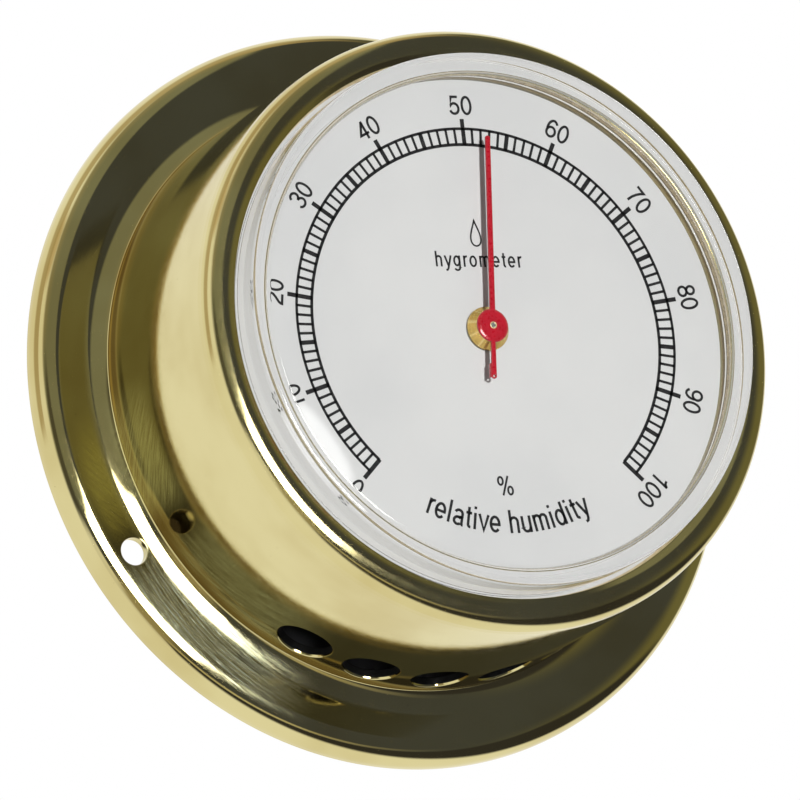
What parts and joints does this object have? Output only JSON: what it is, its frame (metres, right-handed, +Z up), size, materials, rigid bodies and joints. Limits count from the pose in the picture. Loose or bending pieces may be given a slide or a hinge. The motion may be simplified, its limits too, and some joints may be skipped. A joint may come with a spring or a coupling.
{
  "type": "dial hygrometer",
  "caption": "Round brass-cased dial hygrometer for wall mounting, with a flanged shell, air vents, domed bezel, cup crystal, red pointer and a geared hair movement.",
  "frame": {"origin": "on the dial's axis, in the plane of the wall that the flange's rim stands on", "axes": "-Y out of the dial towards the reader, +Y into the wall, +Z up to the scale's 50 mark, +X to the reader's right"},
  "size_m": [0.095, 0.0382, 0.095],
  "materials": {
    "polished_brass": "mirror polished, lacquered",
    "clear_crystal": "clear moulded acrylic, polished",
    "gasket_rubber": "olive-brown, matt",
    "dial_white": "matt white lacquer with black print",
    "black_moulding": "moulded, fine satin texture",
    "spring_steel": "drawn strip, satin",
    "movement_brass": "stamped and turned, satin",
    "steel_screws": "turned, bright",
    "hair_fibre": "bundle of fine fibres",
    "arbor_steel": "turned and polished",
    "hub_brass": "turned, fine lathe lines",
    "red_paint": "satin crimson lacquer",
    "adjuster_brass": "turned, satin"
  },
  "bodies": {
    "root": {"case_shell": "polished_brass", "bezel_ring": "polished_brass", "crystal": "clear_crystal", "crystal_gasket": "gasket_rubber", "dial_plate": "dial_white", "dial_support_ring": "black_moulding", "retaining_ring": "spring_steel", "movement_front_plate": "movement_brass", "movement_back_plate": "movement_brass", "movement_pillars": "movement_brass", "plate_screws": "steel_screws", "dial_feet": "movement_brass", "foot_nuts": "movement_brass", "centre_bush": "movement_brass", "pivot_bushes": "movement_brass", "hairspring": "spring_steel", "hairspring_stud": "movement_brass", "hair_bundle": "hair_fibre", "hair_clips": "movement_brass", "friction_washer": "spring_steel", "back_cover": "black_moulding", "cover_screws": "steel_screws"},
    "pointer": {"pointer_arbor": "arbor_steel", "pinion": "movement_brass", "hairspring_collet": "movement_brass", "hand_hub": "hub_brass", "pointer_hand": "red_paint"},
    "sector": {"sector_gear": "movement_brass", "sector_arbor": "arbor_steel", "hair_lever": "movement_brass", "crank_pin": "arbor_steel"},
    "adjuster": {"adjusting_screw": "adjuster_brass", "adjuster_clip": "spring_steel"}
  },
  "joints": [
    {"name": "sector_swing", "type": "hinge", "parent": "root", "child": "sector", "pos_m": [-0.008, -0.0188, -0.01233], "axis": [0, 1, 0], "range_deg": [-21.57, 23.43], "stiffness_Nm_per_rad": 0.0005, "deforming": ["hair_bundle", "hair_clips"]},
    {"name": "pointer_spin", "type": "hinge", "parent": "root", "child": "pointer", "pos_m": [0, -0.02, 0], "axis": [0, 1, 0], "range_deg": [-140.6, 129.4]},
    {"name": "adjuster_turn", "type": "hinge", "parent": "root", "child": "adjuster", "pos_m": [-0.0088, -0.01, 0.031], "axis": [0, 1, 0], "range_deg": [-90, 90]}
  ],
  "couplings": [
    {"joint": "pointer_spin", "follows": "sector_swing", "ratio": -6}
  ]
}
